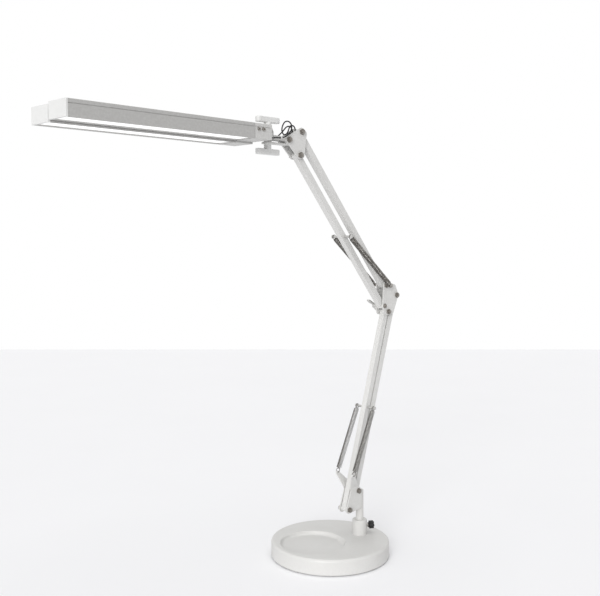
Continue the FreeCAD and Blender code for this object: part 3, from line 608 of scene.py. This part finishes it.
def makeCoil(start, end, pitch, settings):
    length = (end - start).length
    turns = round(length / pitch)
    bpy.ops.mesh.primitive_circle_add(
        vertices=settings["section"], radius=settings["wire"],
        location=(settings["coil"], 0, 0), rotation=(math.radians(90), 0, 0),
    )
    coil = bpy.context.object
    applyPlace(coil)
    screw = coil.modifiers.new("wind", "SCREW")
    screw.axis = "Z"
    screw.angle = math.radians(360)
    screw.screw_offset = length / turns
    screw.iterations = turns
    screw.steps = settings["steps"]
    screw.render_steps = settings["steps"]
    screw.use_merge_vertices = False
    bpy.ops.object.modifier_apply(modifier=screw.name)
    bpy.ops.object.mode_set(mode="EDIT")
    bpy.ops.mesh.select_all(action="SELECT")
    bpy.ops.mesh.fill_holes(sides=settings["section"])
    bpy.ops.mesh.select_all(action="SELECT")
    bpy.ops.mesh.normals_make_consistent(inside=False)
    bpy.ops.object.mode_set(mode="OBJECT")
    standOn(coil, start, end - start, acrossPlane)
    return coil


def makeSpring(name, hookStart, startAxis, hookEnd, node, pitch):
    settings = springSettings
    direction = (hookEnd - hookStart).normalized()
    coilStart = hookStart + direction * settings["neck"]
    coilEnd = hookEnd - direction * settings["neck"]
    wire = settings["wire"]
    rim = direction * settings["ring"]
    spokeOut = acrossPlane.cross(direction).normalized() * settings["coil"]
    parts = [
        makeCoil(coilStart, coilEnd, pitch, settings),
        wireRing(hookStart, startAxis, settings["ring"], wire),
        wireRing(hookEnd, acrossPlane, settings["ring"], wire),
        wireRod(hookStart + rim, coilStart + direction * wire, wire),
        wireRod(hookEnd - rim, coilEnd - direction * wire, wire),
        wireRod(coilStart - spokeOut, coilStart + spokeOut, wire),
        wireRod(coilEnd - spokeOut, coilEnd + spokeOut, wire),
    ]
    spring = joinAll(parts, name)
    bpy.ops.object.shade_smooth_by_angle(angle=math.radians(settings["smoothAngle"]))
    dress(spring, "spring_steel")
    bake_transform(spring)
    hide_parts(node)


post = pivot("base_swivel")
lowerPin = centre("lower_cross_pin")
upperPin = centre("upper_cross_pin")
anchorBolt = centre("elbow_anchor_bolt")
hookPlaces = {
    "plane": 0.018,               # from the middle of the arms, each side
    "horn": (-0.038, 0.138),      # from the post's axis, and up
    "throughHorn": 0.0043,        # ring centre past the hole
    "roundBolt": 0.0004,          # the same, past the bolt's and the pin's middle
    "roundPin": 0.0009,
}


def makeSprings():
    hornAlong, hornUp = hookPlaces["horn"]
    horn = Vector((post.x + hornAlong, post.y, hornUp))
    for sideName, side in (("near", -1), ("far", 1)):
        shift = Vector((0, side * hookPlaces["plane"], 0))
        reach = (lowerPin - horn).normalized()
        makeSpring(
            sideName + "LowerSpring",
            horn + shift + reach * hookPlaces["throughHorn"], reach.cross(acrossPlane),
            lowerPin + shift - reach * hookPlaces["roundPin"],
            "lower_spring_" + sideName,
            springSettings["lowerPitch"],
        )
        reach = (upperPin - anchorBolt).normalized()
        makeSpring(
            sideName + "UpperSpring",
            anchorBolt + shift + reach * hookPlaces["roundBolt"], acrossPlane,
            upperPin + shift - reach * hookPlaces["roundPin"],
            "upper_spring_" + sideName,
            springSettings["upperPitch"],
        )


makeSprings()
print("springs wound")


# The small tapered grommet where each cord leaves its light bar.
grommetSettings = {
    "root": 0.0026,        # radius of the flange
    "tip": 0.0014,
    "length": 0.006,
    "flange": 0.0008,
    "shoulder": 0.75,      # the sleeve's radius where it starts, of the root
    "steps": 3,
    "sides": 32,
    "smoothAngle": 40,
}
facesOut = 0.9             # a face whose normal has more X than this looks along X


def makeGrommet(body, side, settings):
    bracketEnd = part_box(body + "_bracket")[1][0]
    along, across, up = cordSettings["lead"][0]
    bpy.ops.mesh.primitive_cylinder_add(
        vertices=settings["sides"], radius=settings["root"], depth=settings["flange"],
        location=(
            bracketEnd + settings["flange"] / 2,
            hub.y + side * across / perMetre,
            tilt.z + up / perMetre,
        ),
        rotation=(0, math.radians(90), 0),
    )
    grommet = bpy.context.object
    applyPlace(grommet)
    bpy.ops.object.mode_set(mode="EDIT")
    bpy.ops.mesh.select_all(action="DESELECT")
    bpy.ops.object.mode_set(mode="OBJECT")
    for face in grommet.data.polygons:
        face.select = face.normal.x > facesOut
    bpy.ops.object.mode_set(mode="EDIT")
    bpy.ops.mesh.inset(thickness=settings["root"] * (1 - settings["shoulder"]))
    sleeve = settings["root"] * settings["shoulder"]
    taper = (settings["tip"] / sleeve) ** (1 / settings["steps"])
    stride = settings["length"] / settings["steps"]
    for step in range(settings["steps"]):
        bpy.ops.mesh.extrude_region_move(
            TRANSFORM_OT_translate={"value": (stride, 0, 0)}
        )
        bpy.ops.transform.resize(value=(1, taper, taper))
    bpy.ops.object.mode_set(mode="OBJECT")
    bpy.ops.object.shade_smooth_by_angle(angle=math.radians(settings["smoothAngle"]))
    dress(grommet, "black_plastic")
    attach(grommet, body)


makeGrommet("near_bar", -1, grommetSettings)
makeGrommet("far_bar", 1, grommetSettings)
print("grommets fitted")


# Floor, backdrop and lights.
stageSettings = {
    "floorSize": 10.0,
    "floorReach": 4.11,          # from the camera to the floor's far edge
    "floorDrop": 0.0002,         # below the foot pad
    "floorColour": (0.905, 0.905, 0.92),
    "floorShade": 0.99,
    "floorRough": 0.6,
    "floorGrain": 400.0,
    "floorMottle": 3.0,
    "worldLight": 0.5,
    "aim": (-0.1, 0, 0.4),       # what the lights point at
    "lights": [
        {"name": "keyLight", "place": (-6.4, -3.4, 2.6), "spread": 30.0, "power": 1.85},
        {"name": "topLight", "place": (-0.6, -0.4, 6.5), "spread": 60.0, "power": 1.0},
    ],
}


def makeFloor(settings):
    turn = math.radians(cameraSettings["turn"])
    ahead = Vector((-math.sin(turn), math.cos(turn), 0))
    eye = Vector(cameraSettings["place"])
    middle = eye + ahead * (settings["floorReach"] - settings["floorSize"] / 2)
    bpy.ops.mesh.primitive_plane_add(
        size=settings["floorSize"],
        location=(middle.x, middle.y, cadLow[2] - settings["floorDrop"]),
        rotation=(0, 0, turn),
    )
    floor = bpy.context.object
    floor.name = "deskTop"
    applyPlace(floor)
    material, tree, shader = newMaterial("paleTop", Roughness=settings["floorRough"])
    sizes = {"Grain Size": settings["floorGrain"], "Mottle Size": settings["floorMottle"]}
    grain = placeGroup(tree, coatGrain, **sizes)
    colour = settings["floorColour"]
    shade = tuple(part * settings["floorShade"] for part in colour)
    body = mixColours(tree, grain.outputs["Mottle"], colour, shade)
    tree.links.new(body, shader.inputs["Base Color"])
    floor.data.materials.append(material)


def makeWorld(settings):
    # Seen and mirrored it is white, and on the object it lights less.
    world = bpy.data.worlds.new("studio")
    world.use_nodes = True
    bpy.context.scene.world = world
    tree = world.node_tree
    tree.nodes.clear()
    path = addNode(tree, "ShaderNodeLightPath")
    seen = addNode(tree, "ShaderNodeMath", operation="MAXIMUM")
    shown = addNode(tree, "ShaderNodeMath", operation="MAXIMUM")
    strength = ramp(tree, 0.0, 1.0, settings["worldLight"], 1.0)
    background = addNode(tree, "ShaderNodeBackground", **{"Color": (1, 1, 1, 1)})
    out = addNode(tree, "ShaderNodeOutputWorld")
    link = tree.links.new
    link(path.outputs["Is Camera Ray"], seen.inputs[0])
    link(path.outputs["Is Glossy Ray"], seen.inputs[1])
    link(seen.outputs[0], shown.inputs[0])
    link(path.outputs["Is Transmission Ray"], shown.inputs[1])
    link(shown.outputs[0], strength.inputs["Value"])
    link(strength.outputs["Result"], background.inputs["Strength"])
    link(background.outputs["Background"], out.inputs["Surface"])


def makeLight(light, target):
    place = Vector(light["place"])
    aim = (target - place).to_track_quat("-Z", "Y").to_euler()
    bpy.ops.object.light_add(type="SUN", location=place, rotation=aim)
    lamp = bpy.context.object
    lamp.name = light["name"]
    lamp.data.energy = light["power"]
    lamp.data.angle = math.radians(light["spread"])


makeFloor(stageSettings)
makeWorld(stageSettings)
for light in stageSettings["lights"]:
    makeLight(light, Vector(stageSettings["aim"]))
bpy.context.scene.view_settings.view_transform = "Standard"
print("stage lit")
